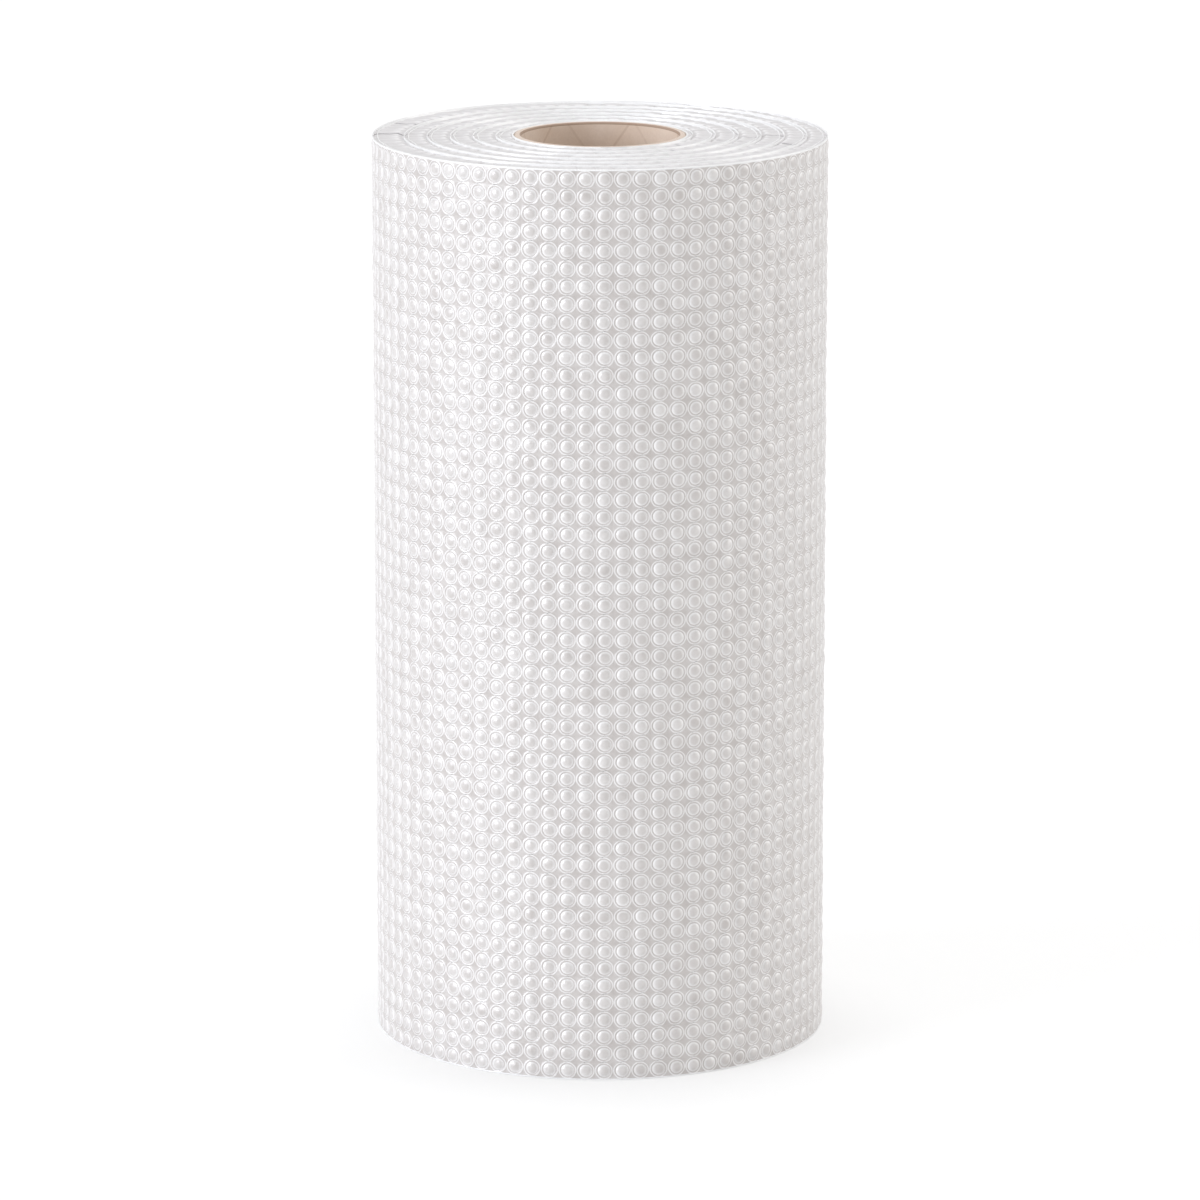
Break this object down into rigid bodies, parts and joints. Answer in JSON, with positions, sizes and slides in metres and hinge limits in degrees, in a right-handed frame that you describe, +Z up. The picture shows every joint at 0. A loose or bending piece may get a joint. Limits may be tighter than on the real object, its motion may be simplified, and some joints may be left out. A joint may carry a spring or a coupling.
{
  "type": "roll of bubble film on a cardboard core",
  "caption": "Round roll of clear cushioning film with air bubbles, wound on an open cardboard core and standing on its end.",
  "frame": {"origin": "on the core's axis at the base, where the roll stands on its end", "axes": "+Z up along the core's axis; -Y is the front of the picture; the web's tail is at the back (+Y)"},
  "size_m": [0.25, 0.25, 0.5],
  "materials": {
    "core_paper": "matt wound kraft paper",
    "film": "milky translucent polyethylene film, semi-gloss"
  },
  "bodies": {
    "root": {"cardboard_core": "core_paper", "bubble_film": "film"}
  },
  "joints": []
}
